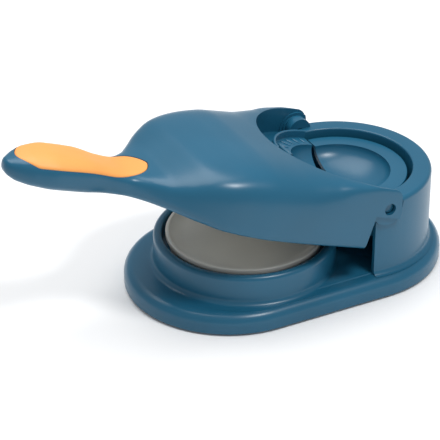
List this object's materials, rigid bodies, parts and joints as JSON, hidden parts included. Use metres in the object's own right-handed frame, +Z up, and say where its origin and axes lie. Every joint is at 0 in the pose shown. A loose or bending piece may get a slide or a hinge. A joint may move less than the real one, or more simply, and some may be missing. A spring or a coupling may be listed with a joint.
{
  "type": "empanada press",
  "caption": "Hand press for filled pastries: round dough press in a stadium base, hinged lever with handle, and a folding half-moon mould behind",
  "frame": {"origin": "under the middle of the stadium foot, on the surface that the press stands on", "axes": "+X from the cup to the mould housing at the back, the lever's handle points to -X; +Z up; +Y to the left when looking along +X"},
  "size_m": [0.2437, 0.11, 0.1038],
  "materials": {
    "blue_plastic": "moulded, satin to semi-gloss",
    "white_plastic": "moulded, smooth, off-white",
    "orange_grip": "soft-touch, finely textured",
    "screw_steel": "plain zinc-plated screws",
    "pad_rubber": "matte rubber"
  },
  "bodies": {
    "base": {"base_shell": "blue_plastic", "bottom_cover": "blue_plastic", "bottom_cover_screws": "screw_steel", "lower_press_plate": "white_plastic", "lower_plate_screws": "screw_steel", "rear_mould_leaf": "blue_plastic", "rear_leaf_screws": "screw_steel", "pivot_pin_near": "blue_plastic", "pivot_pin_far": "blue_plastic", "foot_pad_1": "pad_rubber", "foot_pad_2": "pad_rubber", "foot_pad_3": "pad_rubber", "foot_pad_4": "pad_rubber", "foot_pad_5": "pad_rubber"},
    "lever": {"lever_shell": "blue_plastic", "handle_cover": "blue_plastic", "handle_cover_screws": "screw_steel", "grip_inlay": "orange_grip", "upper_press_plate": "white_plastic", "upper_plate_screws": "screw_steel", "front_mould_leaf": "blue_plastic", "front_leaf_screws": "screw_steel"}
  },
  "joints": [
    {"name": "lever_hinge", "type": "hinge", "parent": "base", "child": "lever", "pos_m": [0.033, 0, 0.0505], "axis": [0, 1, 0], "range_deg": [-20, 160]}
  ]
}
